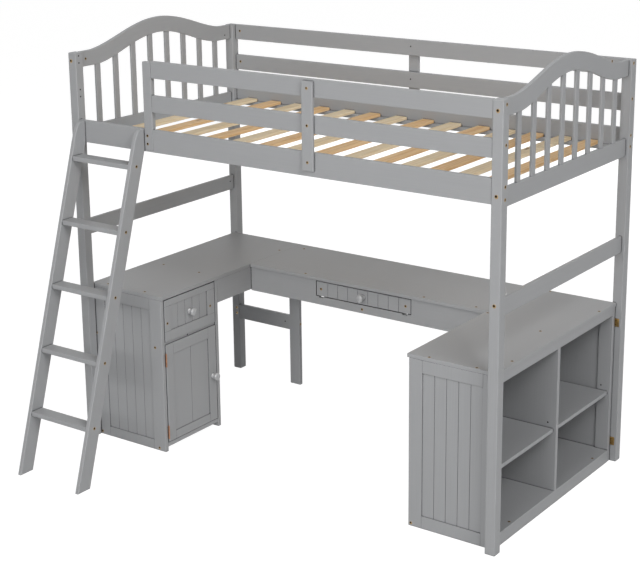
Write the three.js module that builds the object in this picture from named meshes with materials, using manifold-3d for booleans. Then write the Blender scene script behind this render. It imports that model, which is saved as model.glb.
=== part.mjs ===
import * as THREE from 'three';
import { mergeVertices } from 'three/addons/utils/BufferGeometryUtils.js';
import { RoundedBoxGeometry } from 'three/addons/geometries/RoundedBoxGeometry.js';
import Module from 'manifold-3d';

const wasm = await Module();
wasm.setup();

// All sizes are in millimetres. X runs along the bed from the ladder end, Y from front to back, Z up.

// Overall frame
const LENGTH = 2020;
const DEPTH = 1060;
const POST = 42;
const POST_HEIGHT = 1675;
const POST_ROUND = 3;
const EDGE_ROUND = 2;
const SLIM_ROUND = 1.5;
const FINE_ROUND = 1;
const GAP = 0.5;

// Rails and guards, hung from the tops of the posts
const RAIL_T = 18;
const RAIL_SET_IN = 2;
const BED_RAIL_DROP = 366;
const BED_RAIL_BOTTOM = POST_HEIGHT - BED_RAIL_DROP;
const BED_RAIL_H = 92;
const GUARD_H = 68;
const GUARD_SPACE = 68;
const TOP_GUARD_BOTTOM = POST_HEIGHT - GUARD_H;
const MID_GUARD_BOTTOM = TOP_GUARD_BOTTOM - GUARD_SPACE - GUARD_H;
const BACK_MID_GUARD_DROP = 3;
const CLEAT_H = 18;
const CLEAT_D = 20;

// Uprights of the guards
const GATE_X = 402;
const GATE_W = 43;
const GATE_T = 21;
const GATE_PROUD = 1;
const GATE_FOOT_RISE = 7;
const GATE_TOP_DROP = 4;
const GATE_BOTTOM = BED_RAIL_BOTTOM + GATE_FOOT_RISE;
const GATE_TOP = POST_HEIGHT - GATE_TOP_DROP;
const LAP_T = 12;
const PLANK_W = 50;
const PLANK_T = 12;
const PLANK_FOOT_RISE = 22;
const PLANK_TOP_DROP = 8;
const PLANK_BOTTOM = BED_RAIL_BOTTOM + PLANK_FOOT_RISE;
const PLANK_TOP = POST_HEIGHT - PLANK_TOP_DROP;
const BACK_PLANK_SHIFT = 10;

// End panels
const END_T = 15;
const END_SET_IN = 13;
const END_RAIL_DROP = 16;
const END_RAIL_BOTTOM = BED_RAIL_BOTTOM - END_RAIL_DROP;
const END_RAIL_H = 70;
const ARCH_RISE = 91;
const ARCH_RAIL_H = 64;
const ARCH_LOWER_Z = POST_HEIGHT - ARCH_RAIL_H;
const ARCH_LOWER_RISE = 88;
const ARCH_HALF = 430;
const ARCH_LOWER_HALF = 390;
const ARCH_FULLNESS = 0.8;
const ARCH_STEPS = 40;
const SPINDLES = 8;
const SPINDLE_W = 28;
const SPINDLE_T = 10;
const SPINDLE_PITCH = 109.6;
const TENON = 12;
const STRETCHER_BOTTOM = 900;
const STRETCHER_H = 67;

// Slats
const SLAT_W = 57;
const SLAT_T = 13;
const SLAT_FIRST_X = 106;
const SLAT_PITCH = 136;
const SLAT_PITCH_FOOT = 125;
const SLATS_AT_WIDE_PITCH = 10;
const SLATS = 14;

// Ladder
const LADDER_FRONT_Y = -471;
const LADDER_STILE_DEPTH = 69;
const LADDER_STILE_T = 18;
const LADDER_LEFT_X = 58;
const LADDER_RIGHT_X = 382;
const LADDER_LAP = 83;
const LADDER_PLAY = 1;
const LADDER_SHOULDER_H = 62;
const LADDER_TOP = BED_RAIL_BOTTOM + BED_RAIL_H - LADDER_PLAY;
const LADDER_SHOULDER = LADDER_TOP - LADDER_SHOULDER_H;
const LADDER_CUT_Z = BED_RAIL_BOTTOM + BED_RAIL_H - LADDER_LAP;
const LADDER_LEAN = (RAIL_SET_IN - LADDER_FRONT_Y - LADDER_STILE_DEPTH) / LADDER_CUT_Z;
const LADDER_TOP_FLAT = 20;
const TREADS = 5;
const TREAD_FIRST_Z = 244;
const TREAD_LAST_DROP = 53;
const TREAD_PITCH = (BED_RAIL_BOTTOM - TREAD_LAST_DROP - TREAD_FIRST_Z) / (TREADS - 1);
const TREAD_DEPTH = 60;
const TREAD_T = 19;

// Desk
const DESK_TOP = 687;
const DESK_T = 15;
const DESK_FRONT_Y = 43;
const WING_LEFT_X = [26, 418];
const WING_RIGHT_W = 379;
const WING_RIGHT_SET_IN = 25;
const WING_RIGHT_X = [LENGTH - WING_RIGHT_SET_IN - WING_RIGHT_W, LENGTH - WING_RIGHT_SET_IN];
const DESK_ROUND = 1;
const BACK_DESK_FRONT_Y = 636;
const APRON_T = 18;
const APRON_LEFT_FACE_X = 415;
const APRON_LEFT_BOTTOM = 567;
const APRON_BACK_FACE_Y = 645;
const APRON_BACK_BOTTOM = 562;
const LEG_W = 58;
const LEG_X = [APRON_LEFT_FACE_X - LEG_W, APRON_LEFT_FACE_X];
const LEG_LAP = 40;
const LEG_STRETCHER_BOTTOM = 258;
const LEG_STRETCHER_H = 69;

// Storage units under the wings
const PANEL_T = 18;
const BOARD_T = 16;
const CABINET_X = [28, 413];
const CABINET_BACK_Y = 409;
const FACE_X = 415;
const CABINET_FLOOR_TOP = 38;
const KICK_BOTTOM = 20;
const DIVIDER_TOP = 487;
const REVEAL = 3;
const STRIP_SET_BACK = 6;
const STRIP_PLAY = 1.5;
const CABINET_PANEL = { left: 66, right: 64, top: 50, bottom: 43, boards: 5 };
const CABINET_SIDE = { left: 64, right: 64, top: 50, bottom: 43, boards: 5 };
const BOOKCASE_W = 368;
const BOOKCASE_SET_IN = 28;
const BOOKCASE_X = [LENGTH - BOOKCASE_SET_IN - BOOKCASE_W, LENGTH - BOOKCASE_SET_IN];
const BOOKCASE_PLAY = 2;
const BOOKCASE_BACK_Y = DEPTH - POST - BOOKCASE_PLAY;
const BOOKCASE_PANEL = { left: 58, right: 56, top: 50, bottom: 51, boards: 5 };
const BACK_PANEL_T = 10;
const FASCIA_H = 35;
const PLINTH_H = 40;
const BOOKCASE_FLOOR_TOP = 52;
const DIVIDER_Y = 520;
const SHELF_TOP = 310;
const SHELF_T = 15;
const SHELF_SET_BACK = 12;

// Door, drawers, knobs and hinges
const DOOR_BOTTOM = 40;
const DOOR_TOP = 472;
const DOOR_PANEL = { left: 46, right: 50, top: 48, bottom: 37, boards: 2 };
const DRAWER_FRONT_PANEL = { left: 39, right: 49, top: 28, bottom: 45, boards: 5, railsThrough: true };
const DRAWER_TOP_GAP = 5;
const DRAWER_WALL = 12;
const DRAWER_BOTTOM_T = 6;
const CABINET_DRAWER_DEPTH = 310;
const CABINET_DRAWER_BOX_H = 120;
const SIDE_CLEARANCE = 4;
const DESK_DRAWER_X = [773, 1251];
const DESK_DRAWER_BOTTOM = 602;
const DESK_DRAWER_TOP = 665.5;
const DESK_DRAWER_DEPTH = 320;
const DESK_DRAWER_GROOVES = 8;
const DESK_DRAWER_BOARD = 51.4;
const TRAY_INSET = 42;
const TRAY_HEADROOM = 10;
const RUNNER_W = 20;
const RUNNER_T = 14;
const RUNNER_INSET = 46;
const RUNNER_LENGTH = 336;
const RUNNER_PLAY = 0.5;
const NOTCH_W = 23;
const NOTCH_STARTS = [12, 438];
const NOTCH_H = 6;
const KNOB_D = 35;
const KNOB_LENGTH = 32;
const DOOR_KNOB_Z = 246;
const HINGE_H = 58;
const HINGE_R = 3;
const HINGE_LEAF_W = 17;
const HINGE_LEAVES_T = 2.4;
const HINGE_STANDOFF = 0.2;
const HINGE_Z = [86, 407];

// Joinery details cut into the faces
const GROOVE_W = 3;
const GROOVE_D = 2;
const FIELD_SET_BACK = 4;
const FIELD_T = 7;
const JOINT_LINE = 0.8;

// Colours
const PAINT = 0x9b9c9e;
const PINE_PALE = 0xd9c59f;
const PINE_WARM = 0xd6a56c;
const COPPER = 0xa8744a;

const DESK_UNDER = DESK_TOP - DESK_T;
const BACK_POST_Y = DEPTH - POST;
const RIGHT_POST_X = LENGTH - POST;

function solid(geometry) {
  const bare = geometry.index ? geometry.toNonIndexed() : geometry.clone();
  for (const name of Object.keys(bare.attributes)) {
    if (name !== 'position') bare.deleteAttribute(name);
  }
  const merged = mergeVertices(bare, 1e-4);
  return new wasm.Manifold(new wasm.Mesh({
    numProp: 3,
    vertProperties: new Float32Array(merged.attributes.position.array),
    triVerts: new Uint32Array(merged.index.array),
  }));
}

function box([x0, x1], [y0, y1], [z0, z1]) {
  const geometry = new THREE.BoxGeometry(x1 - x0, y1 - y0, z1 - z0);
  geometry.translate((x0 + x1) / 2, (y0 + y1) / 2, (z0 + z1) / 2);
  return solid(geometry);
}

function board([x0, x1], [y0, y1], [z0, z1], round = EDGE_ROUND) {
  const geometry = new RoundedBoxGeometry(x1 - x0, y1 - y0, z1 - z0, 1, round);
  geometry.translate((x0 + x1) / 2, (y0 + y1) / 2, (z0 + z1) / 2);
  return solid(geometry);
}

function union(solids) {
  return solids.reduce((sum, piece) => sum.add(piece));
}

// A board cut to an outline in the Y-Z plane, its thickness along X from x0
function sideProfile(points, x0, thickness, round = EDGE_ROUND) {
  const shape = new THREE.Shape(points.map(([y, z]) => new THREE.Vector2(y, z)));
  const geometry = new THREE.ExtrudeGeometry(shape, {
    depth: thickness - 2 * round,
    bevelEnabled: true,
    bevelThickness: round,
    bevelSize: round,
    bevelOffset: -round,
    bevelSegments: 1,
  });
  const turn = new THREE.Matrix4().makeBasis(
    new THREE.Vector3(0, 1, 0),
    new THREE.Vector3(0, 0, 1),
    new THREE.Vector3(1, 0, 0),
  );
  geometry.applyMatrix4(turn);
  geometry.translate(x0 + round, 0, 0);
  return solid(geometry);
}

// A V-shaped groove along Z, its centre on the face at y = 0
function groove(x, z0, z1) {
  const side = GROOVE_D * Math.SQRT2;
  const geometry = new THREE.BoxGeometry(side, side, z1 - z0);
  geometry.rotateZ(Math.PI / 4);
  geometry.scale(GROOVE_W / (2 * GROOVE_D), 1, 1);
  geometry.translate(x, 0, (z0 + z1) / 2);
  return solid(geometry);
}

// A frame of two stiles and two rails round a field of grooved boards, its outer face at y = 0
function framedPanel(width, height, frame) {
  const whole = board([0, width], [0, PANEL_T], [0, height]);
  const x0 = frame.left;
  const x1 = width - frame.right;
  const z0 = frame.bottom;
  const z1 = height - frame.top;
  const fieldBack = FIELD_SET_BACK + FIELD_T;
  let panel = whole.subtract(box([x0, x1], [-1, FIELD_SET_BACK], [z0, z1]));
  panel = panel.subtract(box([x0, x1], [fieldBack, PANEL_T + 1], [z0, z1]));
  const pitch = (x1 - x0) / frame.boards;
  for (let i = 1; i < frame.boards; i += 1) {
    panel = panel.subtract(groove(x0 + i * pitch, z0, z1).translate([0, FIELD_SET_BACK, 0]));
  }
  const half = JOINT_LINE / 2;
  for (const x of frame.railsThrough ? [] : [x0, x1]) {
    panel = panel.subtract(box([x - half, x + half], [-1, JOINT_LINE], [-1, z0 + 1]));
    panel = panel.subtract(box([x - half, x + half], [-1, JOINT_LINE], [z1 - 1, height + 1]));
  }
  for (const z of frame.railsThrough ? [z0, z1] : []) {
    panel = panel.subtract(box([-1, x0 + 1], [-1, JOINT_LINE], [z - half, z + half]));
    panel = panel.subtract(box([x1 - 1, width + 1], [-1, JOINT_LINE], [z - half, z + half]));
  }
  return panel;
}

function facing(panel, direction, [x, y, z]) {
  const turns = { front: 0, right: 90, back: 180 };
  return panel.rotate([0, 0, turns[direction]]).translate([x, y, z]);
}

function archShape(t) {
  return t >= 1 ? 0 : ((1 + Math.cos(Math.PI * t)) / 2) ** ARCH_FULLNESS;
}

function archTop(y) {
  return POST_HEIGHT + ARCH_RISE * archShape(Math.abs(y - DEPTH / 2) / ARCH_HALF);
}

function archLower(y) {
  return ARCH_LOWER_Z + ARCH_LOWER_RISE * archShape(Math.abs(y - DEPTH / 2) / ARCH_LOWER_HALF);
}

// Arched rail, spindles and bottom rail of one end, glued up as one panel
function endPanel(x0) {
  const span = BACK_POST_Y - POST;
  const ys = Array.from({ length: ARCH_STEPS + 1 }, (_, i) => POST + (span * i) / ARCH_STEPS);
  const upper = ys.map((y) => [y, archTop(y)]);
  const lower = ys.map((y) => [y, archLower(y)]).reverse();
  const parts = [sideProfile([...upper, ...lower].reverse(), x0, END_T, SLIM_ROUND)];
  const railTop = END_RAIL_BOTTOM + END_RAIL_H;
  parts.push(board([x0, x0 + END_T], [POST, BACK_POST_Y], [END_RAIL_BOTTOM, railTop]));
  const inset = (END_T - SPINDLE_T) / 2;
  for (let i = 0; i < SPINDLES; i += 1) {
    const y = DEPTH / 2 + (i - (SPINDLES - 1) / 2) * SPINDLE_PITCH;
    const top = Math.min(archLower(y - SPINDLE_W / 2), archLower(y + SPINDLE_W / 2)) + TENON;
    parts.push(board(
      [x0 + inset, x0 + END_T - inset],
      [y - SPINDLE_W / 2, y + SPINDLE_W / 2],
      [railTop - TENON, top],
      SLIM_ROUND,
    ));
  }
  return union(parts);
}

function bedRail(face, inward) {
  const y = [face, face + inward * RAIL_T].sort((a, b) => a - b);
  const inner = face + inward * RAIL_T;
  const cleat = [inner - inward, inner + inward * CLEAT_D].sort((a, b) => a - b);
  const rail = board([POST, RIGHT_POST_X], y, [BED_RAIL_BOTTOM, BED_RAIL_BOTTOM + BED_RAIL_H]);
  const ledge = board([POST, RIGHT_POST_X], cleat, [BED_RAIL_BOTTOM, BED_RAIL_BOTTOM + CLEAT_H], FINE_ROUND);
  return rail.add(ledge);
}

function ladderStile(x0) {
  const railFace = RAIL_SET_IN;
  const backFoot = LADDER_FRONT_Y + LADDER_STILE_DEPTH;
  const frontShoulder = LADDER_FRONT_Y + LADDER_LEAN * LADDER_SHOULDER;
  const points = [
    [LADDER_FRONT_Y, 0],
    [backFoot, 0],
    [railFace, LADDER_CUT_Z],
    [railFace, LADDER_TOP],
    [railFace - LADDER_TOP_FLAT, LADDER_TOP],
  ];
  const curve = new THREE.QuadraticBezierCurve(
    new THREE.Vector2(railFace - LADDER_TOP_FLAT, LADDER_TOP),
    new THREE.Vector2(frontShoulder + LADDER_LEAN * (LADDER_TOP - LADDER_SHOULDER), LADDER_TOP),
    new THREE.Vector2(frontShoulder, LADDER_SHOULDER),
  );
  for (const point of curve.getPoints(8).slice(1)) {
    points.push([point.x, point.y]);
  }
  return sideProfile(points, x0, LADDER_STILE_T);
}

function tread(i) {
  const z = TREAD_FIRST_Z + i * TREAD_PITCH;
  const y = LADDER_FRONT_Y + LADDER_STILE_DEPTH / 2 + LADDER_LEAN * z;
  return board(
    [LADDER_LEFT_X + LADDER_STILE_T, LADDER_RIGHT_X],
    [y - TREAD_DEPTH / 2, y + TREAD_DEPTH / 2],
    [z - TREAD_T / 2, z + TREAD_T / 2],
  );
}

// An open tray: front wall at y = 0, running back along +Y, floor at z = 0
function tray(width, depth, height) {
  const outer = box([0, width], [0, depth], [0, height]);
  const hollow = box(
    [DRAWER_WALL, width - DRAWER_WALL],
    [DRAWER_WALL, depth - DRAWER_WALL],
    [DRAWER_BOTTOM_T, height + 1],
  );
  return outer.subtract(hollow);
}

function deskDrawer() {
  const width = DESK_DRAWER_X[1] - DESK_DRAWER_X[0];
  const height = DESK_DRAWER_TOP - DESK_DRAWER_BOTTOM;
  let front = board([0, width], [0, PANEL_T], [0, height]);
  const first = (width - (DESK_DRAWER_GROOVES - 1) * DESK_DRAWER_BOARD) / 2;
  for (let i = 0; i < DESK_DRAWER_GROOVES; i += 1) {
    front = front.subtract(groove(first + i * DESK_DRAWER_BOARD, -1, height + 1));
  }
  const body = tray(width - 2 * TRAY_INSET, DESK_DRAWER_DEPTH, height - TRAY_HEADROOM);
  const joined = front.add(body.translate([TRAY_INSET, PANEL_T - 1, RUNNER_PLAY - REVEAL]));
  return joined.translate([DESK_DRAWER_X[0], APRON_BACK_FACE_Y, DESK_DRAWER_BOTTOM]);
}

function cabinetDrawer(y0, y1) {
  const bottom = DIVIDER_TOP + RUNNER_PLAY - REVEAL;
  const front = framedPanel(y1 - y0, DESK_UNDER - DRAWER_TOP_GAP - bottom, DRAWER_FRONT_PANEL);
  const body = tray(y1 - y0 - 2 * SIDE_CLEARANCE, CABINET_DRAWER_DEPTH, CABINET_DRAWER_BOX_H);
  const joined = front.add(body.translate([SIDE_CLEARANCE, PANEL_T - 1, REVEAL]));
  return facing(joined, 'right', [FACE_X, y0, bottom]);
}

// Back apron with the drawer's opening, a notch under each of its ends, and the two runners that carry it
function backApron() {
  const [x0, x1] = DESK_DRAWER_X;
  const face = APRON_BACK_FACE_Y;
  const through = [face - 1, face + APRON_T + 1];
  const runnerTop = DESK_DRAWER_BOTTOM - REVEAL;
  const z = [APRON_BACK_BOTTOM, DESK_UNDER];
  const rail = board([APRON_LEFT_FACE_X, BOOKCASE_X[0]], [face, face + APRON_T], z);
  const notches = NOTCH_STARTS.map((start) => box(
    [x0 + start, x0 + start + NOTCH_W],
    through,
    [runnerTop - NOTCH_H, runnerTop + 1],
  ));
  const openings = union([
    box([x0 - REVEAL, x1 + REVEAL], through, [runnerTop, DESK_UNDER + 1]),
    ...notches,
  ]);
  const runners = [x0 + RUNNER_INSET, x1 - RUNNER_INSET - RUNNER_W].map((x) => box(
    [x, x + RUNNER_W],
    [face + APRON_T - 1, face + APRON_T + RUNNER_LENGTH],
    [runnerTop - RUNNER_T, runnerTop],
  ));
  return union([rail.subtract(openings), ...runners]);
}

function cabinetCarcass() {
  const [x0, x1] = CABINET_X;
  const inside = DESK_FRONT_Y + PANEL_T;
  const sideY = CABINET_BACK_Y - PANEL_T;
  const side = facing(
    framedPanel(FACE_X - x0, DESK_UNDER, CABINET_SIDE), 'back', [FACE_X, CABINET_BACK_Y, 0]);
  const outer = board([x0, x0 + BOARD_T], [inside, sideY + 1], [0, DESK_UNDER]);
  const depthX = [x0 + BOARD_T - 1, FACE_X - PANEL_T - GAP];
  const y = [inside, sideY + 1];
  const floor = board(depthX, y, [CABINET_FLOOR_TOP - BOARD_T, CABINET_FLOOR_TOP], FINE_ROUND);
  const divider = board(depthX, y, [DIVIDER_TOP - BOARD_T, DIVIDER_TOP], FINE_ROUND);
  const kick = board([x1 - PANEL_T, x1], y, [KICK_BOTTOM, CABINET_FLOOR_TOP], FINE_ROUND);
  const strip = box(
    [depthX[1] - 1, FACE_X - STRIP_SET_BACK],
    y,
    [DOOR_TOP + STRIP_PLAY, DIVIDER_TOP + RUNNER_PLAY - REVEAL - STRIP_PLAY],
  );
  return union([side, outer, floor, divider, kick, strip]);
}

function bookcaseCarcass() {
  const [x0, x1] = BOOKCASE_X;
  const y = [DESK_FRONT_Y + PANEL_T, BOOKCASE_BACK_Y - PANEL_T];
  const back = box([x0, x0 + BACK_PANEL_T], y, [0, DESK_UNDER]);
  const depthX = [x0 + BACK_PANEL_T - 1, x1];
  const floor = board(depthX, y, [BOOKCASE_FLOOR_TOP - BOARD_T, BOOKCASE_FLOOR_TOP], FINE_ROUND);
  const plinth = board([x1 - PANEL_T, x1], y, [0, PLINTH_H], FINE_ROUND);
  const fascia = board([x1 - PANEL_T, x1], y, [DESK_UNDER - FASCIA_H, DESK_UNDER], FINE_ROUND);
  const dividerY = [DIVIDER_Y, DIVIDER_Y + PANEL_T];
  const divider = board(depthX, dividerY, [PLINTH_H, DESK_UNDER], FINE_ROUND);
  return union([back, floor, plinth, fascia, divider]);
}

function shelf(y0, y1) {
  return board(
    [BOOKCASE_X[0] + BACK_PANEL_T, BOOKCASE_X[1] - SHELF_SET_BACK],
    [y0, y1],
    [SHELF_TOP - SHELF_T, SHELF_TOP],
    FINE_ROUND,
  );
}

// A turned knob on a face, its axis along +Z before it is laid over
function knob() {
  const r = KNOB_D / 2;
  const profile = [
    [0, 0],
    [0.74, 0],
    [0.76, 0.08],
    [0.62, 0.16],
    [0.5, 0.27],
    [0.55, 0.38],
    [0.8, 0.49],
    [0.97, 0.62],
    [1, 0.73],
    [0.93, 0.84],
    [0.7, 0.94],
    [0.36, 0.985],
    [0, 1],
  ];
  return new THREE.LatheGeometry(profile.map(([x, y]) => new THREE.Vector2(x * r, y * KNOB_LENGTH)), 24);
}

function knobOnRight(x, y, z) {
  const geometry = knob();
  geometry.rotateZ(-Math.PI / 2);
  geometry.translate(x, y, z);
  return solid(geometry);
}

function knobOnFront(x, y, z) {
  const geometry = knob();
  geometry.rotateX(Math.PI);
  geometry.translate(x, y, z);
  return solid(geometry);
}

function hinge(z) {
  const x = FACE_X + HINGE_R + HINGE_STANDOFF;
  const leafFace = DESK_FRONT_Y + PANEL_T;
  const y = leafFace + GAP;
  const barrel = new THREE.CylinderGeometry(HINGE_R, HINGE_R, HINGE_H, 24);
  barrel.rotateX(Math.PI / 2);
  barrel.translate(x, y, z);
  const leafY = [leafFace, leafFace + HINGE_LEAVES_T];
  const leaf = box([x - HINGE_LEAF_W, x], leafY, [z - HINGE_H / 2, z + HINGE_H / 2]);
  return solid(barrel).add(leaf);
}

function slatX(i) {
  const wide = Math.min(i, SLATS_AT_WIDE_PITCH - 1);
  return SLAT_FIRST_X + wide * SLAT_PITCH + (i - wide) * SLAT_PITCH_FOOT;
}

const group = new THREE.Group();
group.name = 'loft_bed';

function add(name, body, color = PAINT, roughness = 0.55, metalness = 0) {
  const mesh = body.getMesh();
  const geometry = new THREE.BufferGeometry();
  geometry.setAttribute('position', new THREE.BufferAttribute(new Float32Array(mesh.vertProperties), 3));
  geometry.setIndex(new THREE.BufferAttribute(new Uint32Array(mesh.triVerts), 1));
  geometry.computeVertexNormals();
  const material = new THREE.MeshStandardMaterial({ color, roughness, metalness });
  material.name = name;
  const node = new THREE.Mesh(geometry, material);
  node.name = name;
  group.add(node);
}

// Posts
const postXs = { left: [0, POST], right: [RIGHT_POST_X, LENGTH] };
const postYs = { front: [0, POST], back: [BACK_POST_Y, DEPTH] };
for (const [row, y] of Object.entries(postYs)) {
  for (const [side, x] of Object.entries(postXs)) {
    add(`post_${row}_${side}`, board(x, y, [0, POST_HEIGHT], POST_ROUND));
  }
}

// End panels and end stretchers
const leftEnd = END_SET_IN;
const rightEnd = LENGTH - END_SET_IN - END_T;
for (const [side, x] of [['left', leftEnd], ['right', rightEnd]]) {
  add(`end_panel_${side}`, endPanel(x));
  add(`end_stretcher_${side}`, board(
    [x, x + END_T],
    [POST, BACK_POST_Y],
    [STRETCHER_BOTTOM, STRETCHER_BOTTOM + STRETCHER_H],
  ));
}

// Bed rails with their cleats, the front one notched for the gate upright
const frontFace = RAIL_SET_IN;
const backFace = DEPTH - RAIL_SET_IN;
const gateFace = RAIL_SET_IN - GATE_PROUD;
const notch = box(
  [GATE_X - GAP / 2, GATE_X + GATE_W + GAP / 2],
  [frontFace - 1, gateFace + LAP_T + GAP / 2],
  [GATE_BOTTOM - GAP / 2, BED_RAIL_BOTTOM + BED_RAIL_H + 1],
);
add('bed_rail_front', bedRail(frontFace, 1).subtract(notch));
add('bed_rail_back', bedRail(backFace, -1));

// Guard rails
const frontY = [frontFace, frontFace + RAIL_T];
const backY = [backFace - RAIL_T, backFace];
const guardLevels = [['top', TOP_GUARD_BOTTOM, 0], ['mid', MID_GUARD_BOTTOM, BACK_MID_GUARD_DROP]];
for (const [level, z, drop] of guardLevels) {
  const backZ = [z - drop, z - drop + GUARD_H];
  add(`guard_front_${level}`, board([GATE_X + GATE_W, RIGHT_POST_X], frontY, [z, z + GUARD_H]));
  add(`guard_back_${level}`, board([POST, RIGHT_POST_X], backY, backZ));
}

// Guard uprights
const railTopZ = BED_RAIL_BOTTOM + BED_RAIL_H;
add('guard_upright_gate', union([
  board([GATE_X, GATE_X + GATE_W], [gateFace, gateFace + LAP_T], [GATE_BOTTOM, GATE_TOP]),
  board([GATE_X, GATE_X + GATE_W], [gateFace, gateFace + GATE_T], [railTopZ + GAP, GATE_TOP]),
]));
const frontPlankX = (GATE_X + GATE_W + RIGHT_POST_X - PLANK_W) / 2;
const backPlankX = (POST + RIGHT_POST_X - PLANK_W) / 2 - BACK_PLANK_SHIFT;
add('guard_upright_front', board(
  [frontPlankX, frontPlankX + PLANK_W], [frontFace - PLANK_T, frontFace], [PLANK_BOTTOM, PLANK_TOP]));
add('guard_upright_back', board(
  [backPlankX, backPlankX + PLANK_W], [backFace, backFace + PLANK_T], [PLANK_BOTTOM, PLANK_TOP]));

// Slats resting on the cleats
for (let i = 0; i < SLATS; i += 1) {
  const x = slatX(i);
  const z = BED_RAIL_BOTTOM + CLEAT_H;
  const name = `slat_${String(i + 1).padStart(2, '0')}`;
  const slat = board([x, x + SLAT_W], [frontY[1] + GAP, backY[0] - GAP], [z, z + SLAT_T], SLIM_ROUND);
  add(name, slat, i % 2 === 0 ? PINE_PALE : PINE_WARM, 0.6);
}

// Ladder
add('ladder_stile_left', ladderStile(LADDER_LEFT_X));
add('ladder_stile_right', ladderStile(LADDER_RIGHT_X));
for (let i = 0; i < TREADS; i += 1) {
  add(`ladder_tread_${i + 1}`, tread(i));
}

// Desk
const deskZ = [DESK_UNDER, DESK_TOP];
const wingY = [DESK_FRONT_Y, BACK_POST_Y];
const backDeskX = [WING_LEFT_X[1], WING_RIGHT_X[0]];
add('desktop_left', board(WING_LEFT_X, wingY, deskZ, DESK_ROUND));
add('desktop_back', board(backDeskX, [BACK_DESK_FRONT_Y, BACK_POST_Y], deskZ, DESK_ROUND));
add('desktop_right', board(WING_RIGHT_X, wingY, deskZ, DESK_ROUND));
const legY = [BACK_POST_Y - APRON_T, BACK_POST_Y];
add('apron_left', board(
  [APRON_LEFT_FACE_X - APRON_T, APRON_LEFT_FACE_X],
  [CABINET_BACK_Y, legY[0]],
  [APRON_LEFT_BOTTOM, DESK_UNDER],
));
add('apron_back', backApron());
add('desk_leg', board(LEG_X, legY, [0, DESK_UNDER]));
add('leg_stretcher', board(
  [POST, LEG_X[0] + LEG_LAP],
  [legY[1], legY[1] + APRON_T],
  [LEG_STRETCHER_BOTTOM, LEG_STRETCHER_BOTTOM + LEG_STRETCHER_H],
));

// Cabinet under the left wing
const [cabinetX0, cabinetX1] = CABINET_X;
add('cabinet_front_panel', facing(
  framedPanel(cabinetX1 - cabinetX0, DESK_UNDER, CABINET_PANEL), 'front', [cabinetX0, DESK_FRONT_Y, 0]));
add('cabinet_carcass', cabinetCarcass());
const doorY = [DESK_FRONT_Y + PANEL_T + REVEAL, CABINET_BACK_Y - PANEL_T - REVEAL];
add('cabinet_door', facing(
  framedPanel(doorY[1] - doorY[0], DOOR_TOP - DOOR_BOTTOM, DOOR_PANEL),
  'right',
  [FACE_X, doorY[0], DOOR_BOTTOM],
));
add('door_knob', knobOnRight(FACE_X, doorY[1] - DOOR_PANEL.right / 2, DOOR_KNOB_Z));
add('cabinet_drawer', cabinetDrawer(doorY[0], doorY[1]));
add('cabinet_drawer_knob', knobOnRight(
  FACE_X - FIELD_SET_BACK,
  (doorY[0] + doorY[1]) / 2,
  (DIVIDER_TOP + DESK_UNDER) / 2,
));
add('hinge_lower', hinge(HINGE_Z[0]), COPPER, 0.35, 1);
add('hinge_upper', hinge(HINGE_Z[1]), COPPER, 0.35, 1);

// Drawer in the back apron
add('desk_drawer', deskDrawer());
add('desk_drawer_knob', knobOnFront(
  (DESK_DRAWER_X[0] + DESK_DRAWER_X[1]) / 2,
  APRON_BACK_FACE_Y,
  (DESK_DRAWER_BOTTOM + DESK_DRAWER_TOP) / 2,
));

// Bookcase under the right wing
add('bookcase_front_panel', facing(
  framedPanel(BOOKCASE_W, DESK_UNDER, BOOKCASE_PANEL), 'front', [BOOKCASE_X[0], DESK_FRONT_Y, 0]));
add('bookcase_side_panel', facing(
  framedPanel(BOOKCASE_W, DESK_UNDER, BOOKCASE_PANEL), 'back', [BOOKCASE_X[1], BOOKCASE_BACK_Y, 0]));
add('bookcase_carcass', bookcaseCarcass());
add('shelf_front', shelf(DESK_FRONT_Y + PANEL_T, DIVIDER_Y));
add('shelf_back', shelf(DIVIDER_Y + PANEL_T, BOOKCASE_BACK_Y - PANEL_T));

// The origin is on the floor, under the middle of the whole outline
const frontmost = LADDER_FRONT_Y;
const backmost = backFace + PLANK_T;
group.children.forEach((node) => {
  node.geometry.translate(-LENGTH / 2, -(frontmost + backmost) / 2, 0);
});

export default group;
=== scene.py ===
"""Looks for the loft bed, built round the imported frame.

Paint, pine, copper, small fittings, floor, light and camera, in metres and in the frame's own axes.
"""
import math

import bmesh
import bpy
from mathutils import Matrix, Vector


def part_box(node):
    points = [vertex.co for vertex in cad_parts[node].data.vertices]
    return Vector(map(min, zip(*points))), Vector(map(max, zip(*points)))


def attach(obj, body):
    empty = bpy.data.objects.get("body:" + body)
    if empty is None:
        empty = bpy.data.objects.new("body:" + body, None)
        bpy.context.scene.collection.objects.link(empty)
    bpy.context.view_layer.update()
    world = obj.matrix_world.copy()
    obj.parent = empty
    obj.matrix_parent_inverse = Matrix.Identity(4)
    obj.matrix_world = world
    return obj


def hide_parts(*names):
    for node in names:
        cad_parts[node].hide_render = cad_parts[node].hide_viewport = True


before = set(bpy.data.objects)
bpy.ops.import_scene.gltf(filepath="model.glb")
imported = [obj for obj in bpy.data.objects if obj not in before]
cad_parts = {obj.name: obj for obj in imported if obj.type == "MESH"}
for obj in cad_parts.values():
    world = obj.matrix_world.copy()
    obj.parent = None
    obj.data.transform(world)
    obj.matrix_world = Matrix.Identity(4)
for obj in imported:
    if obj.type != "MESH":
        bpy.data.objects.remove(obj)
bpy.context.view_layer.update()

# The bed's corner on the floor, left and front, in the model's frame
CORNER = Vector((-1.010, -0.2995, 0.0))
MM = 0.001


def at(x, y, z):
    """A point given in millimetres from the bed's corner."""
    return CORNER + Vector((x, y, z)) * MM


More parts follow.
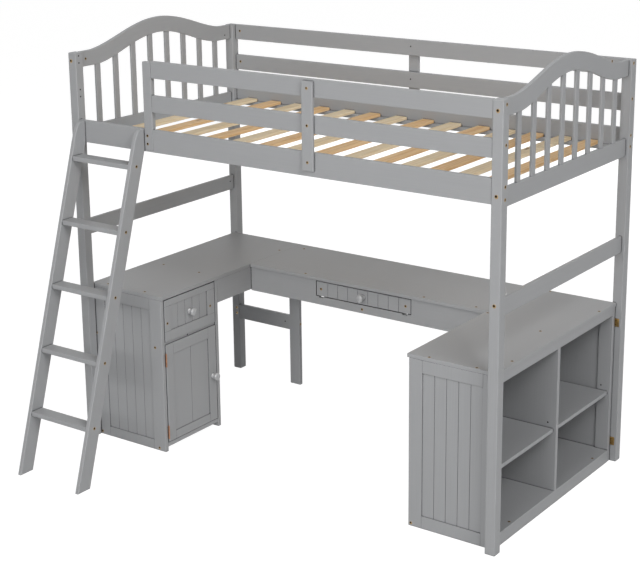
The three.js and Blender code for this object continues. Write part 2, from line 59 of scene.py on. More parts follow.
# Colours, linear
PAINT = (0.372, 0.377, 0.386)
# Lighter paint: the knobs' coat, and corners, where it is partly rubbed paint and partly a painted
# highlight
PAINT_LIGHT = (0.47, 0.475, 0.485)
PAINT_DARK = (0.325, 0.330, 0.339)
# Near black for the painted shade in grooves, seams and inner corners
CREASE_SHADE = (0.05, 0.051, 0.053)
COPPER = (0.50, 0.26, 0.16)
BRASS = (0.42, 0.27, 0.10)
BOLT = (0.50, 0.36, 0.19)
# Near black painted shade inside sockets, holes and the back board's gap
RECESS_SHADE = (0.012, 0.008, 0.006)
KNOT = (0.17, 0.075, 0.03)
WHITE = (1.0, 1.0, 1.0)

PINE_PALE = ((0.95, 0.80, 0.57), (0.83, 0.64, 0.40))
PINE_WARM = ((0.93, 0.66, 0.38), (0.79, 0.48, 0.22))

# How far the surfaces' details reach, in metres
CREASE_SHADE_REACH = 0.009
WORN_AND_HIGHLIT_EDGE = 0.003
PAINTED_ROUND = 0.0016
PINE_ROUND = 0.0015
GRAIN_HEIGHT = 0.0004
BRUSHED_HEIGHT = 0.0002
# How open a spot is where the painted crease shade starts to show, and where it is at its darkest
CREASE_SHADE_START, CREASE_SHADE_FULL = 0.84, 0.34
# The same for corners with rubbed paint and a painted highlight, by how far the rounded normal leans from
# the flat one
EDGE_WEAR_AND_HIGHLIGHT_START, EDGE_WEAR_AND_HIGHLIGHT_FULL = 1.0, 0.86


def rgba(colour):
    """A colour with full opacity."""
    return (*colour, 1.0)


def sum_of(tree, operation, first, second):
    """The result of a maths node on two numbers or sockets."""
    node = tree.nodes.new("ShaderNodeMath")
    node.operation = operation
    for socket, value in zip(node.inputs, (first, second)):
        if isinstance(value, (int, float)):
            socket.default_value = value
        else:
            tree.links.new(value, socket)
    return node.outputs["Value"]


class Shader:
    """A node tree with one Principled shader, and short calls for the nodes used here."""

    def __init__(self, name):
        self.material = bpy.data.materials.new(name)
        self.material.use_nodes = True
        self.tree = self.material.node_tree
        self.bsdf = self.tree.nodes["Principled BSDF"]
        self.coord = self.tree.nodes.new("ShaderNodeTexCoord").outputs["Object"]

    def node(self, kind, **settings):
        made = self.tree.nodes.new(kind)
        for key, value in settings.items():
            setattr(made, key, value)
        return made

    def link(self, source, target):
        self.tree.links.new(source, target)

    def mapped(self, scale, offset=(0, 0, 0)):
        node = self.node("ShaderNodeMapping")
        node.inputs["Scale"].default_value = scale
        node.inputs["Location"].default_value = offset
        self.link(self.coord, node.inputs["Vector"])
        return node.outputs["Vector"]

    def noise(self, vector, scale=1.0, detail=3.0, roughness=0.5, distortion=0.0):
        node = self.node("ShaderNodeTexNoise")
        node.inputs["Scale"].default_value = scale
        node.inputs["Detail"].default_value = detail
        node.inputs["Roughness"].default_value = roughness
        node.inputs["Distortion"].default_value = distortion
        self.link(vector, node.inputs["Vector"])
        return node.outputs["Fac"]

    def spread(self, value, low, high, to_low=0.0, to_high=1.0):
        node = self.node("ShaderNodeMapRange")
        node.inputs["From Min"].default_value = low
        node.inputs["From Max"].default_value = high
        node.inputs["To Min"].default_value = to_low
        node.inputs["To Max"].default_value = to_high
        self.link(value, node.inputs["Value"])
        return node.outputs["Result"]

    def math(self, operation, a, b):
        return sum_of(self.tree, operation, a, b)

    def mix(self, factor, a, b):
        node = self.node("ShaderNodeMix", data_type="RGBA")
        self.link(factor, node.inputs[0])
        for socket, value in ((node.inputs[6], a), (node.inputs[7], b)):
            if isinstance(value, tuple):
                socket.default_value = rgba(value)
            else:
                self.link(value, socket)
        return node.outputs[2]

    def bevel(self, radius):
        node = self.node("ShaderNodeBevel", samples=6)
        node.inputs["Radius"].default_value = radius
        return node.outputs["Normal"]

    def edges(self, radius):
        """Nought on flats, rising to one on corners, which are lightened partly as rubbed paint and partly
        as a painted highlight.
        """
        geometry = self.node("ShaderNodeNewGeometry")
        dot = self.node("ShaderNodeVectorMath", operation="DOT_PRODUCT")
        self.link(self.bevel(radius), dot.inputs[0])
        self.link(geometry.outputs["True Normal"], dot.inputs[1])
        return self.spread(dot.outputs["Value"], EDGE_WEAR_AND_HIGHLIGHT_START, EDGE_WEAR_AND_HIGHLIGHT_FULL)

    def crease_shade(self, distance):
        """Mask for painted shade: one in grooves and seams, nought on open faces."""
        node = self.node("ShaderNodeAmbientOcclusion", samples=8, only_local=False)
        node.inputs["Distance"].default_value = distance
        return self.spread(node.outputs["AO"], CREASE_SHADE_START, CREASE_SHADE_FULL)

    def bump(self, height, strength, distance, normal=None):
        node = self.node("ShaderNodeBump")
        node.inputs["Strength"].default_value = strength
        node.inputs["Distance"].default_value = distance
        self.link(height, node.inputs["Height"])
        if normal is not None:
            self.link(normal, node.inputs["Normal"])
        self.link(node.outputs["Normal"], self.bsdf.inputs["Normal"])


def along(axis, length, across):
    """Texture scale that runs long along one axis and fine across it."""
    return tuple(length if i == "XYZ".index(axis) else across for i in range(3))


def painted(name, axis, seed=0.0):
    """Grey brushed paint over wood whose grain runs along one axis."""
    s = Shader(name)
    grain = s.noise(s.mapped(along(axis, 4, 260), (seed, seed, seed)), detail=5, roughness=0.6)
    cloudy = s.noise(s.mapped((2.3, 2.3, 2.3), (seed, 0, 0)), detail=3)
    speck = s.noise(s.mapped((420, 420, 420)), detail=1)
    body = s.mix(s.spread(grain, 0.3, 0.62, 0.45, 1.0), PAINT_DARK, PAINT)
    veil = s.mix(s.spread(cloudy, 0.3, 0.7, 0.15, 0.75), body, PAINT)
    # Corners lightened: partly rubbed paint, partly a painted highlight on the rounded edge
    wear_and_highlight = s.math("MULTIPLY", s.edges(WORN_AND_HIGHLIT_EDGE), s.spread(cloudy, 0.35, 0.75, 0.15, 0.5))
    worn_and_highlit = s.mix(wear_and_highlight, veil, PAINT_LIGHT)
    # Painted shade: grooves, seams and inner corners darkened towards near black
    s.link(s.mix(s.crease_shade(CREASE_SHADE_REACH), worn_and_highlit, CREASE_SHADE), s.bsdf.inputs["Base Color"])
    s.link(s.spread(grain, 0.3, 0.7, 0.44, 0.56), s.bsdf.inputs["Roughness"])
    height = s.math("ADD", grain, s.math("MULTIPLY", speck, 0.35))
    s.bump(height, 0.12, GRAIN_HEIGHT, s.bevel(PAINTED_ROUND))
    s.bsdf.inputs["Specular IOR Level"].default_value = 0.38
    return s.material


def pine(name, tones, seed):
    """Bare softwood, its grain along Y, with growth lines, fibres and a few knots."""
    pale, dark = tones
    s = Shader(name)
    rings = s.node("ShaderNodeTexWave", wave_type="RINGS", rings_direction="Y", wave_profile="SIN")
    rings.inputs["Scale"].default_value = 26
    rings.inputs["Distortion"].default_value = 5.5
    rings.inputs["Detail"].default_value = 3
    rings.inputs["Detail Scale"].default_value = 1.1
    s.link(s.mapped((1.0, 0.16, 1.0), (0.31 * seed % 1, 0.17 * seed, 0.05)), rings.inputs["Vector"])
    fibre = s.noise(s.mapped((900, 12, 900), (seed, seed, 0)), detail=3)
    patch = s.noise(s.mapped((9, 2.2, 9), (seed * 3.7, seed, 0)), detail=2)
    spots = s.node("ShaderNodeTexVoronoi", feature="F1")
    spots.inputs["Scale"].default_value = 1.0
    s.link(s.mapped((15, 4.5, 15), (seed * 1.3, seed * 2.1, 0)), spots.inputs["Vector"])
    knot = s.spread(spots.outputs["Distance"], 0.13, 0.04)
    lines = s.spread(rings.outputs["Fac"], 0.35, 1.0, 0.0, 0.85)
    wood = s.mix(lines, pale, dark)
    wood = s.mix(s.spread(patch, 0.35, 0.7, 0.0, 0.45), wood, dark)
    wood = s.mix(s.spread(fibre, 0.35, 0.75, 0.0, 0.25), wood, dark)
    wood = s.mix(knot, wood, KNOT)
    s.link(wood, s.bsdf.inputs["Base Color"])
    s.link(s.spread(fibre, 0.3, 0.7, 0.5, 0.66), s.bsdf.inputs["Roughness"])
    s.bump(s.math("ADD", fibre, lines), 0.25, GRAIN_HEIGHT, s.bevel(PINE_ROUND))
    s.bsdf.inputs["Specular IOR Level"].default_value = 0.3
    return s.material


def plated(name, colour, roughness):
    """Plated metal with a faint brushed, tarnished skin."""
    s = Shader(name)
    cloudy = s.noise(s.mapped((160, 160, 160)), detail=4)
    lines = s.noise(s.mapped((240, 240, 2600)), detail=2)
    dull = tuple(c * 0.62 for c in colour)
    s.link(s.mix(s.spread(cloudy, 0.3, 0.7), dull, colour), s.bsdf.inputs["Base Color"])
    s.link(s.spread(lines, 0.3, 0.7, roughness - 0.08, roughness + 0.12), s.bsdf.inputs["Roughness"])
    s.bump(lines, 0.15, BRUSHED_HEIGHT)
    s.bsdf.inputs["Metallic"].default_value = 1.0
    return s.material


def gloss_paint(name):
    """The knobs' thicker, shinier coat over turned wood."""
    s = Shader(name)
    cloudy = s.noise(s.mapped((60, 60, 60)), detail=3)
    turning = s.noise(s.mapped((6, 6, 700)), detail=2)
    s.link(s.mix(s.spread(cloudy, 0.3, 0.7), PAINT, PAINT_LIGHT), s.bsdf.inputs["Base Color"])
    s.link(s.spread(cloudy, 0.3, 0.7, 0.2, 0.3), s.bsdf.inputs["Roughness"])
    s.bump(turning, 0.08, BRUSHED_HEIGHT)
    s.bsdf.inputs["Specular IOR Level"].default_value = 0.6
    s.bsdf.inputs["Coat Weight"].default_value = 0.35
    s.bsdf.inputs["Coat Roughness"].default_value = 0.12
    return s.material


def painted_recess_shade():
    """Painted shade for the inside of a socket, a hole or the back board's gap: near black, with a little
    bright grit.
    """
    s = Shader("recess_shade")
    grit = s.noise(s.mapped((900, 900, 900)), detail=2)
    s.link(s.mix(s.spread(grit, 0.6, 0.8, 0.0, 0.15), RECESS_SHADE, BOLT), s.bsdf.inputs["Base Color"])
    s.bsdf.inputs["Roughness"].default_value = 0.8
    s.bsdf.inputs["Specular IOR Level"].default_value = 0.08
    return s.material


paint = {axis: painted(f"paint_{axis.lower()}", axis, 1.7 * i) for i, axis in enumerate("XYZ")}
copper = plated("copper", COPPER, 0.36)
brass = plated("aged_brass", BRASS, 0.4)
bolt_metal = plated("bolt_metal", BOLT, 0.42)
recess_shade = painted_recess_shade()
knob_paint = gloss_paint("paint_gloss")

# The way the grain runs in each painted node
GRAIN_X = (
    "bed_rail_front", "bed_rail_back", "guard_front_top", "guard_front_mid",
    "guard_back_top", "guard_back_mid", "desktop_back", "apron_back", "leg_stretcher", "desk_drawer",
    "ladder_tread_1", "ladder_tread_2", "ladder_tread_3", "ladder_tread_4", "ladder_tread_5",
)
GRAIN_Y = (
    "end_stretcher_left", "end_stretcher_right", "desktop_left", "desktop_right", "apron_left",
    "shelf_front", "shelf_back", "end_panel_left", "end_panel_right",
)

# How far each slat's grain is shifted from the slat before
SLAT_STEP = 0.618


def dress(node, material):
    """Puts one material in every slot of a node."""
    for slot in node.material_slots:
        slot.material = material


for name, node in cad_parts.items():
    if name.startswith("slat_"):
        number = int(name[-2:])
        tones = PINE_WARM if number % 2 == 0 else PINE_PALE
        dress(node, pine(f"pine_{number:02d}", tones, 1.0 + SLAT_STEP * number))
    elif name.startswith("hinge_"):
        dress(node, copper)
    elif name in GRAIN_X:
        dress(node, paint["X"])
    elif name in GRAIN_Y:
        dress(node, paint["Y"])
    else:
        dress(node, paint["Z"])


SHARP_ANGLE = math.radians(38)


def finished(mesh_name, bm, materials, body):
    """Turns a bmesh into a piece that rides on a body."""
    bmesh.ops.recalc_face_normals(bm, faces=bm.faces)
    mesh = bpy.data.meshes.new(mesh_name)
    bm.to_mesh(mesh)
    bm.free()
    for material in materials:
        mesh.materials.append(material)
    mesh.shade_smooth()
    mesh.set_sharp_from_angle(angle=SHARP_ANGLE)
    piece = bpy.data.objects.new(mesh_name, mesh)
    bpy.context.scene.collection.objects.link(piece)
    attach(piece, body)
    return piece


def turned(bm, profile, segments, place, material=0, drift=Vector(), reach=1.0):
    """Revolves (radius, height) points round Z and puts them in place.

    drift moves the rings inside the radius reach to one side, the centre by all of it.
    """
    rows = []
    for radius, height in profile:
        aside = drift * (1 - radius / reach)
        if radius == 0:
            rows.append([bm.verts.new(place @ Vector((0, 0, height)) + aside)])
            continue
        ring = []
        for i in range(segments):
            a = 2 * math.pi * i / segments
            co = place @ Vector((radius * math.cos(a), radius * math.sin(a), height))
            ring.append(bm.verts.new(co + aside))
        rows.append(ring)
    for lower, upper in zip(rows, rows[1:]):
        for i in range(segments):
            j = (i + 1) % segments
            if len(lower) == 1:
                face = bm.faces.new((lower[0], upper[j], upper[i]))
            elif len(upper) == 1:
                face = bm.faces.new((lower[i], lower[j], upper[0]))
            else:
                face = bm.faces.new((lower[i], lower[j], upper[j], upper[i]))
            face.material_index = material


def facing(direction, point):
    """A frame at a point whose Z looks along a direction."""
    turn = Vector(direction).to_track_quat("Z", "Y").to_matrix().to_4x4()
    return Matrix.Translation(point) @ turn


def smooth_profile(points, steps):
    """Catmull-Rom curve through (radius, height) points."""
    out = []
    n = len(points)
    for i in range(n - 1):
        p0, p1, p2, p3 = (Vector(points[max(0, min(n - 1, k))]) for k in (i - 1, i, i + 1, i + 2))
        for k in range(steps):
            t = k / steps
            a = 2 * p1 + (p2 - p0) * t + (2 * p0 - 5 * p1 + 4 * p2 - p3) * t * t
            v = 0.5 * (a + (3 * p1 - p0 - 3 * p2 + p3) * t ** 3)
            out.append((max(v.x, 0.0001), v.y))
    out.append(tuple(points[-1]))
    return out


# Knobs: the same turned form as the CAD, on a finer curve, in shares of the radius and length
KNOB_R = 17.5 * MM
KNOB_LENGTH = 32 * MM
KNOB_CROWN = 0.998
KNOB_SEGMENTS = 48
KNOB_STEPS = 5
KNOB = [
    (0.74, 0), (0.76, 0.08), (0.62, 0.16), (0.5, 0.27), (0.55, 0.38), (0.8, 0.49), (0.965, 0.62),
    (0.99, 0.73), (0.92, 0.84), (0.69, 0.94), (0.35, 0.985), (0.01, KNOB_CROWN),
]


def knob(name, node, body, direction):
    """A turned knob in place of the CAD's, its foot on the face it stands on."""
    lo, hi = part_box(node)
    middle = (Vector(lo) + Vector(hi)) / 2
    d = Vector(direction)
    base = middle - d * KNOB_LENGTH / 2
    bm = bmesh.new()
    curve = smooth_profile([(r * KNOB_R, h * KNOB_LENGTH) for r, h in KNOB], KNOB_STEPS)
    profile = [(0, 0)] + curve + [(0, KNOB_CROWN * KNOB_LENGTH)]
    turned(bm, profile, KNOB_SEGMENTS, facing(direction, base))
    piece = finished(name, bm, [knob_paint], body)
    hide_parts(node)


knob("turned_door_knob", "door_knob", "cabinet_door", (1, 0, 0))
knob("turned_cabinet_drawer_knob", "cabinet_drawer_knob", "cabinet_drawer", (1, 0, 0))
knob("turned_desk_drawer_knob", "desk_drawer_knob", "desk_drawer", (0, -1, 0))

# Bolt heads: a dished rim round a socket painted near black as shade, standing half a millimetre off the
# face
FRONT, BACK, RIGHT, LEFT, UP = (0, -1, 0), (0, 1, 0), (1, 0, 0), (-1, 0, 0), (0, 0, 1)
BIG, MEDIUM, SMALL, HOLE = 7.6, 6.8, 6.0, 3.4
# Profiles in shares of the radius, and millimetres off the face
HEAD_RIM = ((0, -0.4), (1, -0.4), (1, 0.15), (0.93, 0.45), (0.84, 0.55), (0.62, 0.42))
HEAD_SOCKET = ((0.62, 0.42), (0.55, 0.08), (0, 0.06))
DIMPLE = ((0, -0.3), (1, -0.3), (1, 0.1), (0.85, 0.16), (0, 0.05))
HEAD_SEGMENTS = 24
DIMPLE_SEGMENTS = 20
# How far a socket sits above the middle of its head, in shares of the radius, and how much of that
# sideways; this sets its painted shade up and to one side, where the hole's shade falls
SOCKET_RISE = 0.42
SOCKET_ASIDE = 0.8


def on(name, direction, across, up, depth=0.0):
    """A point on one side of a node's box, in millimetres from the box's low corner.

    depth is how far inwards from that side it lies.
    """
    lo, hi = (Vector(corner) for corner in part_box(name))
    outward = Vector(direction)
    axis = max(range(3), key=lambda i: abs(outward[i]))
    first, second = (i for i in range(3) if i != axis)
    point = Vector(lo)
    point[first] += across * MM
    point[second] += up * MM
    point[axis] = (hi if outward[axis] > 0 else lo)[axis]
    return point - outward * depth * MM


def scaled(profile, radius):
    """A profile in metres, from shares of a radius and millimetres of height."""
    return [(share * radius, height * MM) for share, height in profile]


def head(bm, point, direction, radius):
    """A screw head; its socket, painted near black as the hole's shade, sits high in the hole, so the lower
    rim shows as a crescent.
    """
    place = facing(direction, point)
    up = Vector(UP)
    out = Vector(direction)
    drift = (up + out.cross(up) * SOCKET_ASIDE) * radius * SOCKET_RISE if out.z == 0 else Vector()
    turned(bm, scaled(HEAD_RIM, radius), HEAD_SEGMENTS, place, 0, drift, radius)
    turned(bm, scaled(HEAD_SOCKET, radius), HEAD_SEGMENTS, place, 1, drift, radius)


def hole(bm, point, direction, radius):
    """A countersunk hole with no head showing: a dimple and thin lip painted near black as the hole's
    shade.
    """
    turned(bm, scaled(DIMPLE, radius), DIMPLE_SEGMENTS, facing(direction, point), 1)


# Where the heads and holes are, in millimetres from a corner of the board that carries them
POST_FRONT_Z = (1636, 1339, 948)
POST_SIDE_Z = (1656, 1516, 1371, 1326)
GUARD_POST_Z = (1662, 1633, 1523, 1494, 1400)
UPRIGHT_Z = (310, 171, 33)
LEFT_WING = ((75, 24), (279, 26), (79, 373), (288, 367), (368, 840), (8, 849))
BACK_DESK = ((291, 18), (893, 16), (1136, 21), (57, 327))
RIGHT_WING = ((90, 9), (289, 9), (360, 140), (289, 493), (370, 836), (13, 574), (86, 966))
CABINET_FRONT = ((346, 461), (349, 12), (14, 465), (20, 13))
CABINET_DRAWER = ((16, 80), (294, 82))
TREADS = 5


def tread_bolts(stile, direction):
    """A bolt through a ladder stile into the middle of each tread."""
    points = []
    for number in range(1, TREADS + 1):
        lo, hi = (Vector(corner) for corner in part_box(f"ladder_tread_{number}"))
        point = (lo + hi) / 2
        point.x = on(stile, direction, 0, 0).x
        points.append(point)
    return points


def posts(row, direction, across, heights):
    """The same bolts on the left and right posts of a row."""
    return [on(f"post_{row}_{side}", direction, across, z) for side in ("left", "right") for z in heights]


BOLTS = {
    "frame": [
        (FRONT, BIG, [on("post_front_right", FRONT, 21, z) for z in POST_FRONT_Z]),
        (FRONT, BIG, [on("post_front_left", FRONT, 16, 1641)]),
        (BACK, BIG, posts("back", BACK, 21, POST_FRONT_Z)),
        (RIGHT, MEDIUM, [on("post_front_right", RIGHT, 24, z) for z in POST_SIDE_Z]),
        (RIGHT, MEDIUM, [on("post_back_right", RIGHT, 16, z + 4) for z in POST_SIDE_Z]),
        (LEFT, MEDIUM, [on("post_front_left", LEFT, 24, z) for z in POST_SIDE_Z]),
        (LEFT, MEDIUM, [on("post_back_left", LEFT, 18, z) for z in POST_SIDE_Z]),
        (FRONT, SMALL, [on("guard_upright_gate", FRONT, 15, z) for z in (58, 25)]),
        (FRONT, SMALL, [on("guard_upright_front", FRONT, 25, z) for z in UPRIGHT_Z]),
        (BACK, SMALL, [on("guard_upright_back", BACK, 25, z) for z in UPRIGHT_Z]),
        (FRONT, SMALL, [on("guard_back_top", FRONT, 26, 39), on("guard_back_mid", FRONT, 26, 37)]),
        (RIGHT, SMALL, [on("end_panel_left", RIGHT, 30, 349)]),
        (RIGHT, SMALL, [on("end_panel_right", RIGHT, 823, 396)]),
        (RIGHT, MEDIUM, tread_bolts("ladder_stile_right", RIGHT)),
        (LEFT, MEDIUM, tread_bolts("ladder_stile_left", LEFT)),
        (UP, SMALL, [on("desktop_left", UP, x, y) for x, y in LEFT_WING]),
        (UP, SMALL, [on("desktop_back", UP, x, y) for x, y in BACK_DESK]),
        (UP, SMALL, [on("desktop_right", UP, x, y) for x, y in RIGHT_WING]),
        (FRONT, SMALL, [on("cabinet_front_panel", FRONT, x, z) for x, z in CABINET_FRONT]),
        (FRONT, SMALL, [on("bookcase_front_panel", FRONT, 12, 12)]),
        (FRONT, SMALL, [on("apron_back", FRONT, 594, 18)]),
        (FRONT, SMALL, [on("post_back_left", FRONT, 27, z) for z in (310, 283)]),
        (RIGHT, SMALL, [on("desk_leg", RIGHT, 9, 300)]),
        (UP, SMALL, [on("bookcase_carcass", UP, 352, y, 620) for y in (127, 828)]),
        (RIGHT, HOLE, [on("post_front_left", RIGHT, 18, z) for z in GUARD_POST_Z]),
        (FRONT, HOLE, [on("guard_back_top", FRONT, 954, 39), on("guard_back_mid", FRONT, 954, 37)]),
        (RIGHT, HOLE, [on("end_stretcher_left", RIGHT, 949, 40), on("end_panel_left", RIGHT, 938, 338)]),
        (FRONT, HOLE, [on("leg_stretcher", FRONT, 276, 36)]),
        (FRONT, HOLE, [on("bookcase_carcass", FRONT, 332, 331, 459)]),
        (FRONT, HOLE, [on("bookcase_side_panel", FRONT, 327, 331)]),
        (RIGHT, HOLE, [on("cabinet_carcass", RIGHT, 149, 478.5, 6)]),
    ],
    "cabinet_drawer": [(RIGHT, SMALL, [on("cabinet_drawer", RIGHT, y, z) for y, z in CABINET_DRAWER])],
    "desk_drawer": [(FRONT, SMALL, [on("desk_drawer", FRONT, x, 34) for x in (24, 453)])],
}
for body, groups in BOLTS.items():
    bm = bmesh.new()
    for direction, radius, points in groups:
        shape = hole if radius == HOLE else head
        for point in points:
            shape(bm, point, direction, radius * MM)
    finished(f"bolt_heads_{body}", bm, [bolt_metal, recess_shade], body)


# Plates: points in each rounded corner, and how far the rim is eased in millimetres
CORNER_STEPS = 5
RIM_SOFTNESS = 0.25


def plate(bm, centre, across, up, normal, width, height, thickness, round_to=1.2):
    """A thin plate with rounded corners and a softened rim, its back on the face it lies on."""
    across, up, normal = Vector(across), Vector(up), Vector(normal)

    def outline(shrink, lift):
        ring = []
        r = round_to * MM
        w, h = width / 2 * MM - shrink, height / 2 * MM - shrink
        corners = ((w - r, h - r, 0), (-w + r, h - r, 90), (-w + r, -h + r, 180), (w - r, -h + r, 270))
        for cx, cy, start in corners:
            for k in range(CORNER_STEPS):
                a = math.radians(start + 90 / (CORNER_STEPS - 1) * k)
                offset = across * (cx + r * math.cos(a)) + up * (cy + r * math.sin(a))
                ring.append(bm.verts.new(centre + offset + normal * lift))
        return ring

    t = thickness * MM
    soft = min(RIM_SOFTNESS * MM, t / 3)
    rings = [outline(0, 0), outline(0, t - soft), outline(soft, t)]
    for lower, upper in zip(rings, rings[1:]):
        n = len(lower)
        for i in range(n):
            bm.faces.new((lower[i], lower[(i + 1) % n], upper[(i + 1) % n], upper[i]))
    bm.faces.new(rings[0][::-1])
    bm.faces.new(rings[-1])


# Hinges: two leaves let into the gap beside the door, five knuckles and a pin with domed ends
KNUCKLES = 5
KNUCKLE_GAP = 0.3
KNUCKLE_ROUND = 0.4
KNUCKLE_SEGMENTS = 24
PIN_R = 1.7
PIN_DOME = ((0, 0), (1, 0), (1, 0.5), (0.7, 0.9), (0, 1.05))
PIN_SEGMENTS = 20
LEAF_W = 16.0
DOOR_LEAF_W = LEAF_W - 1
LEAF_T = 1.1


def hinge(name, node):
    """A butt hinge in a node's place, one leaf on the cabinet's front and one that rides on the door."""
    lo, hi = (Vector(corner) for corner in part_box(node))
    r = (hi.y - lo.y) / 2
    height = hi.z - lo.z
    pin = Vector((hi.x - r, lo.y + r, lo.z))
    knuckle = height / KNUCKLES
    top = knuckle - KNUCKLE_GAP * MM
    rounding = KNUCKLE_ROUND * MM
    bm = bmesh.new()
    for k in range(KNUCKLES):
        profile = [
            (0, 0), (r - rounding, 0), (r, rounding), (r, top - rounding), (r - rounding, top), (0, top),
        ]
        turned(bm, profile, KNUCKLE_SEGMENTS, facing(UP, pin + Vector((0, 0, k * knuckle))))
    dome = scaled(PIN_DOME, PIN_R * MM)
    for rise, direction in ((height - KNUCKLE_GAP * MM, 1), (0, -1)):
        turned(bm, dome, PIN_SEGMENTS, facing((0, 0, direction), pin + Vector((0, 0, rise))))
    middle = Vector((lo.x + LEAF_W / 2 * MM, 0, (lo.z + hi.z) / 2))
    middle.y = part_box("cabinet_front_panel")[1][1]
    plate(bm, middle, (1, 0, 0), UP, BACK, LEAF_W, height / MM, LEAF_T)
    piece = finished(name, bm, [copper], "frame")
    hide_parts(node)
    bm = bmesh.new()
    middle.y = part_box("cabinet_door")[0][1]
    plate(bm, middle, (1, 0, 0), UP, FRONT, DOOR_LEAF_W, height / MM, LEAF_T)
    finished(name + "_door_leaf", bm, [copper], "cabinet_door")


hinge("knuckled_hinge_lower", "hinge_lower")
hinge("knuckled_hinge_upper", "hinge_upper")

# Two small plates that tie the bookcase to the back post
PLATE_HEIGHTS = (89, 603.5)
PLATE_ACROSS = 20
PLATE_W = 25
PLATE_H = 35
PLATE_T = 1.4
PLATE_ROUND = 1.0
SCREW_R = 3.4
SCREW_RISE = 9
bm = bmesh.new()
for z in PLATE_HEIGHTS:
    foot = on("post_back_right", FRONT, PLATE_ACROSS, z)
    plate(bm, foot, (1, 0, 0), UP, FRONT, PLATE_W, PLATE_H, PLATE_T, PLATE_ROUND)
    for dz in (-SCREW_RISE, SCREW_RISE):
        head(bm, on("post_back_right", FRONT, PLATE_ACROSS, z + dz, -PLATE_T), FRONT, SCREW_R * MM)
finished("post_plates", bm, [brass, recess_shade], "frame")

# A near-black strip on the bookcase's back board along its far side: painted shade where a gap's shadow
# shows
# Its foot starts at the top of the floor board; its head stops short of the carcass top by what the fascia
# hides below the desk
SHADE_STRIP_W = 9.0
SHADE_STRIP_T = 0.3
SHADE_STRIP_ROUND = 0.2
SHADE_STRIP_FOOT = 52.0
SHADE_STRIP_HEAD = 12.0
shelf_lo, shelf_hi = (Vector(corner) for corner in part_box("shelf_back"))
case_lo, case_hi = (Vector(corner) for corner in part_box("bookcase_carcass"))
bm = bmesh.new()
cubbies = ((case_lo.z + SHADE_STRIP_FOOT * MM, shelf_lo.z), (shelf_hi.z, case_hi.z - SHADE_STRIP_HEAD * MM))
for low, high in cubbies:
    middle = Vector((shelf_lo.x, shelf_hi.y - SHADE_STRIP_W / 2 * MM, (low + high) / 2))
    plate(bm, middle, (0, 1, 0), UP, RIGHT, SHADE_STRIP_W, (high - low) / MM, SHADE_STRIP_T, SHADE_STRIP_ROUND)
finished("back_board_shade_strip", bm, [recess_shade], "frame")


# Floor and surroundings
def seen(tree):
    """One for what the camera, a gloss or a glass ray sees of the surroundings."""
    path = tree.nodes.new("ShaderNodeLightPath")
    total = path.outputs["Is Camera Ray"]
    for name in ("Is Glossy Ray", "Is Transmission Ray"):
        total = sum_of(tree, "MAXIMUM", total, path.outputs[name])
    return total


def lit(tree, kind, colour, strength):
    """The output of an emission or background node; its strength is a number or a socket."""
    node = tree.nodes.new(kind)
    node.inputs["Color"].default_value = rgba(colour)
    if isinstance(strength, float):
        node.inputs["Strength"].default_value = strength
    else:
        tree.links.new(strength, node.inputs["Strength"])
    return node.outputs[0]


def blended(tree, output, share, first, second):
    """Ends a node tree in a blend of two shaders; share is the second one's."""
    blend = tree.nodes.new("ShaderNodeMixShader")
    tree.links.new(share, blend.inputs["Fac"])
    tree.links.new(first, blend.inputs[1])
    tree.links.new(second, blend.inputs[2])
    tree.links.new(blend.outputs["Shader"], output.inputs["Surface"])


# The share of the floor that glows for the camera, and its strength; the rest keeps the shadow
FLOOR_GLOW = 0.74
FLOOR_GLOW_STRENGTH = 1.32
FLOOR_SIZE = 30.0
FLOOR_CELLS = 8
FLOOR_DROP = 0.0005
FLOOR_GREY = (0.6, 0.6, 0.6)
bm = bmesh.new()
bmesh.ops.create_grid(bm, x_segments=FLOOR_CELLS, y_segments=FLOOR_CELLS, size=FLOOR_SIZE / 2)
mesh = bpy.data.meshes.new("floor")
bm.to_mesh(mesh)
bm.free()
floor = bpy.data.objects.new("floor", mesh)
floor.location.z = -FLOOR_DROP
bpy.context.scene.collection.objects.link(floor)
material = bpy.data.materials.new("floor")
material.use_nodes = True
tree = material.node_tree
tree.nodes.clear()
output = tree.nodes.new("ShaderNodeOutputMaterial")
diffuse = tree.nodes.new("ShaderNodeBsdfDiffuse")
diffuse.inputs["Color"].default_value = rgba(FLOOR_GREY)
glow = lit(tree, "ShaderNodeEmission", WHITE, FLOOR_GLOW_STRENGTH)
share = sum_of(tree, "MULTIPLY", seen(tree), FLOOR_GLOW)
blended(tree, output, share, diffuse.outputs["BSDF"], glow)
mesh.materials.append(material)

# The studio's right, left and back walls glow softly: axis, side and strength.
# Each glow fades with the square of the direction's part along its axis.
WALL_GLOW = ((0, 1.0, 0.27), (0, -1.0, 0.25), (1, 1.0, 0.3))
BACKDROP_STRENGTH = 1.0
world = bpy.data.worlds.new("studio")
bpy.context.scene.world = world
world.use_nodes = True
tree = world.node_tree
tree.nodes.clear()
output = tree.nodes.new("ShaderNodeOutputWorld")
aspect = tree.nodes.new("ShaderNodeSeparateXYZ")
tree.links.new(tree.nodes.new("ShaderNodeTexCoord").outputs["Generated"], aspect.inputs[0])
strength = 0.0
for axis, sign, level in WALL_GLOW:
    toward = sum_of(tree, "MAXIMUM", sum_of(tree, "MULTIPLY", aspect.outputs[axis], sign), 0.0)
    squared = sum_of(tree, "MULTIPLY", toward, toward)
    strength = sum_of(tree, "ADD", strength, sum_of(tree, "MULTIPLY", squared, level))
fill = lit(tree, "ShaderNodeBackground", WHITE, strength)
backdrop = lit(tree, "ShaderNodeBackground", WHITE, BACKDROP_STRENGTH)
blended(tree, output, seen(tree), fill, backdrop)


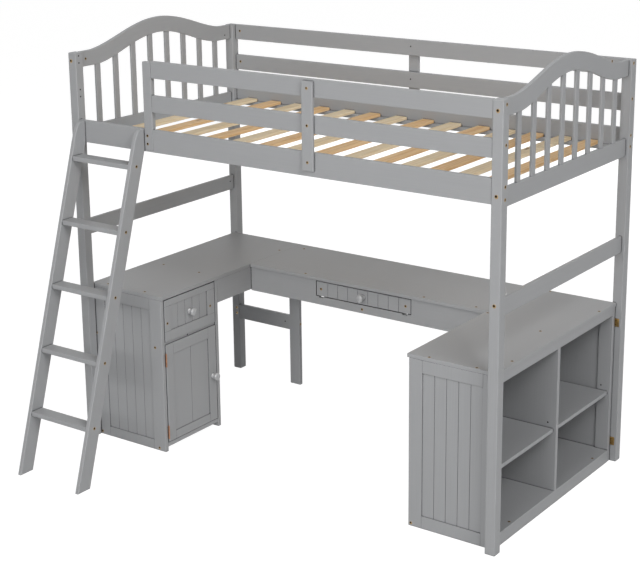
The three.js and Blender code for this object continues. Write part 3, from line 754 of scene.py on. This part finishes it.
def softbox(name, place, aim, size, watts):
    """A rectangular area lamp that faces a point."""
    data = bpy.data.lights.new(name, "AREA")
    data.shape = "RECTANGLE"
    data.size, data.size_y = size
    data.energy = watts
    lamp = bpy.data.objects.new(name, data)
    lamp.location = place
    lamp.rotation_euler = (Vector(aim) - Vector(place)).to_track_quat("-Z", "Y").to_euler()
    bpy.context.scene.collection.objects.link(lamp)


# Lamps aimed at the middle of the bed: name, place, size in metres, watts
MIDDLE = (0.0, 0.1, 0.9)
LAMPS = (
    ("key", (0.5, -6.5, 3.4), (3.0, 2.4), 164),
    ("key_right", (2.5, -6.0, 3.2), (1.6, 1.6), 58),
    ("side", (7.0, -3.5, 6.5), (4.0, 4.0), 430),
    ("over", (0.0, 0.2, 4.8), (4.0, 2.0), 18),
    ("low_back", (-2.5, 6.5, 0.5), (4.5, 0.8), 160),
    ("low_left", (-6.5, 1.5, 0.5), (3.5, 0.8), 90),
)
for lamp_name, lamp_place, lamp_size, lamp_watts in LAMPS:
    softbox(lamp_name, lamp_place, MIDDLE, lamp_size, lamp_watts)

# Camera at the photograph's viewing angle, its shift kept small so that other views hold the whole bed
FOCAL_PX = 1526.3
PHOTO_WIDTH = 640
SENSOR = 36.0
SHIFT_UP = -0.11
CAMERA_PLACE = (4453, -4438, 2598)
YAW, PITCH, ROLL = (math.radians(a) for a in (35.74, 14.85, -0.62))
back = Vector((math.sin(YAW) * math.cos(PITCH), -math.cos(YAW) * math.cos(PITCH), math.sin(PITCH)))
right = Vector((math.cos(YAW), math.sin(YAW), 0.0))
up = back.cross(right)
side = right * math.cos(ROLL) + up * math.sin(ROLL)
top = up * math.cos(ROLL) - right * math.sin(ROLL)
data = bpy.data.cameras.new("camera")
data.sensor_width = SENSOR
data.lens = SENSOR * FOCAL_PX / PHOTO_WIDTH
data.shift_y = SHIFT_UP
camera = bpy.data.objects.new("camera", data)
turn = Matrix((side, top, back)).transposed().to_4x4()
camera.matrix_world = Matrix.Translation(at(*CAMERA_PLACE)) @ turn
bpy.context.scene.collection.objects.link(camera)
bpy.context.scene.camera = camera
bpy.context.scene.view_settings.view_transform = "Standard"
